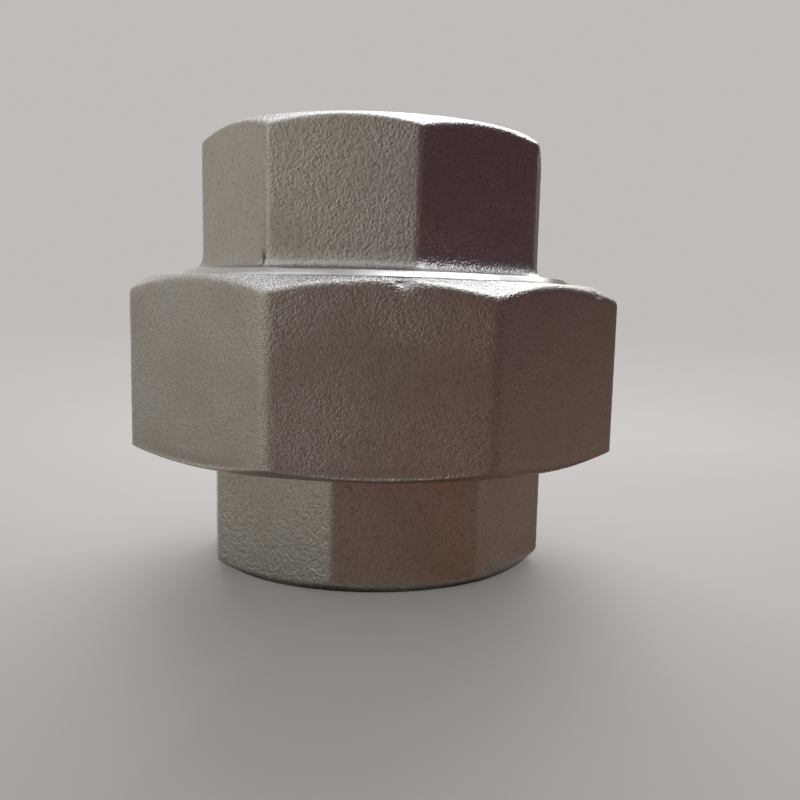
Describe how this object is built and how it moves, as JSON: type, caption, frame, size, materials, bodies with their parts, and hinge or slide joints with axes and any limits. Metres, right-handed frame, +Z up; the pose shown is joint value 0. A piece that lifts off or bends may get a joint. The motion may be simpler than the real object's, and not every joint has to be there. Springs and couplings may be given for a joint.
{
  "type": "pipe union",
  "caption": "Cast stainless pipe union: octagonal head and tail pieces with female threaded ports, joined by a captive octagonal union nut over a flat seal.",
  "frame": {"origin": "middle of the lower (tail) port's face, on the pipe axis", "axes": "+Z up along the pipe, from the tail port to the head port; -Y out of the nut flat that faces the viewer in the picture; +X to the viewer's right"},
  "size_m": [0.067, 0.067, 0.0617],
  "materials": {
    "cast_stainless_ends": "investment-cast stainless, shot-blasted satin grey, machined end faces",
    "cast_stainless_nut": "investment-cast stainless, shot-blasted satin grey",
    "seal": "white fluoropolymer, turned"
  },
  "bodies": {
    "tail": {"tail_piece": "cast_stainless_ends"},
    "seal": {"seal_ring": "seal"},
    "nut": {"union_nut": "cast_stainless_nut"},
    "head": {"head_piece": "cast_stainless_ends"}
  },
  "joints": [
    {"name": "swivel", "type": "hinge", "parent": "tail", "child": "seal", "pos_m": [0, 0, 0.0256], "axis": [0, 0, 1], "continuous": true},
    {"name": "nut_turn", "type": "hinge", "parent": "seal", "child": "nut", "pos_m": [0, 0, 0.029], "axis": [0, 0, -1], "range_deg": [0, 2160]},
    {"name": "head_lift", "type": "slide", "parent": "seal", "child": "head", "axis": [0, 0, 1], "range_m": [0, 0.0121]}
  ],
  "couplings": [
    {"joint": "head_lift", "follows": "nut_turn", "m_per_rad": 0.00031831}
  ]
}
